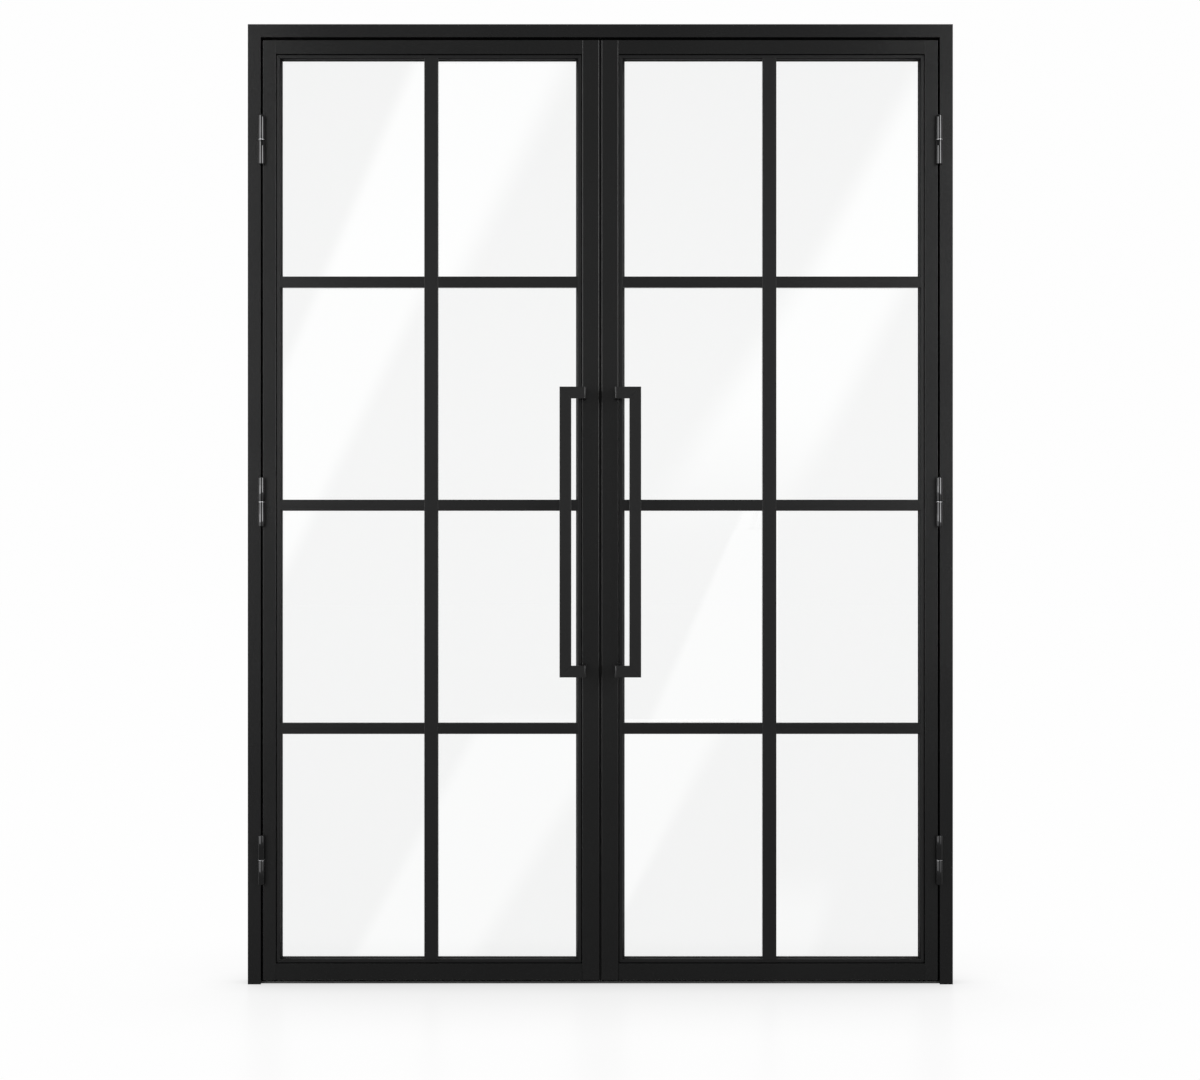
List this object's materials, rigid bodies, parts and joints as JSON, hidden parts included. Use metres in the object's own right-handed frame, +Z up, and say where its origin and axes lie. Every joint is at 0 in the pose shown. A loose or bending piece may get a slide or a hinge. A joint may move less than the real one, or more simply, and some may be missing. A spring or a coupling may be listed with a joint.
{
  "type": "french doors",
  "caption": "French doors: glazed black steel leaves on barrel hinges in a slim mitred frame, with glazing bars, flat-bar pull handles and a low threshold.",
  "frame": {"origin": "middle of the threshold's underside, halfway through the frame's depth", "axes": "+X along the opening to the right seen from the hinge-barrel side, +Y from that side to the other, +Z up"},
  "size_m": [1.52, 0.118, 2.07],
  "materials": {
    "frame_steel": "satin",
    "leaf_steel": "satin",
    "bead_aluminium": "satin",
    "handle_steel": "satin",
    "hinge_steel": "gloss",
    "bare_steel": "satin",
    "plated_magnet": "polished",
    "black_rubber": "matte",
    "clear_glass": "polished"
  },
  "bodies": {
    "frame": {"frame_head": "frame_steel", "frame_jamb_left": "frame_steel", "frame_jamb_right": "frame_steel", "threshold": "frame_steel", "stop_seal": "black_rubber", "head_magnets": "plated_magnet", "left_frame_knuckles": "hinge_steel", "left_hinge_pins": "bare_steel", "left_hinge_washers": "bare_steel", "right_frame_knuckles": "hinge_steel", "right_hinge_pins": "bare_steel", "right_hinge_washers": "bare_steel"},
    "left_leaf": {"left_hinge_stile": "leaf_steel", "left_meeting_stile": "leaf_steel", "left_top_rail": "leaf_steel", "left_bottom_rail": "leaf_steel", "left_hinge_side_bead": "bead_aluminium", "left_meeting_side_bead": "bead_aluminium", "left_top_bead": "bead_aluminium", "left_bottom_bead": "bead_aluminium", "left_glass": "clear_glass", "left_glass_gaskets": "black_rubber", "left_setting_blocks": "black_rubber", "left_front_muntin": "bead_aluminium", "left_rear_muntin": "bead_aluminium", "left_upper_bars": "bead_aluminium", "left_middle_bars": "bead_aluminium", "left_lower_bars": "bead_aluminium", "left_pull_handle": "handle_steel", "left_handle_screws": "bare_steel", "left_leaf_knuckles": "hinge_steel", "left_meeting_seal": "black_rubber", "left_bottom_sweep": "black_rubber"},
    "right_leaf": {"right_hinge_stile": "leaf_steel", "right_meeting_stile": "leaf_steel", "right_top_rail": "leaf_steel", "right_bottom_rail": "leaf_steel", "right_hinge_side_bead": "bead_aluminium", "right_meeting_side_bead": "bead_aluminium", "right_top_bead": "bead_aluminium", "right_bottom_bead": "bead_aluminium", "right_glass": "clear_glass", "right_glass_gaskets": "black_rubber", "right_setting_blocks": "black_rubber", "right_front_muntin": "bead_aluminium", "right_rear_muntin": "bead_aluminium", "right_upper_bars": "bead_aluminium", "right_middle_bars": "bead_aluminium", "right_lower_bars": "bead_aluminium", "right_pull_handle": "handle_steel", "right_handle_screws": "bare_steel", "right_leaf_knuckles": "hinge_steel", "right_meeting_seal": "black_rubber", "right_bottom_sweep": "black_rubber"}
  },
  "joints": [
    {"name": "left_leaf_hinge", "type": "hinge", "parent": "frame", "child": "left_leaf", "pos_m": [-0.72975, -0.0373, 1.04], "axis": [0, 0, -1], "range_deg": [0, 170]},
    {"name": "right_leaf_hinge", "type": "hinge", "parent": "frame", "child": "right_leaf", "pos_m": [0.72975, -0.0373, 1.04], "axis": [0, 0, 1], "range_deg": [0, 170]}
  ]
}
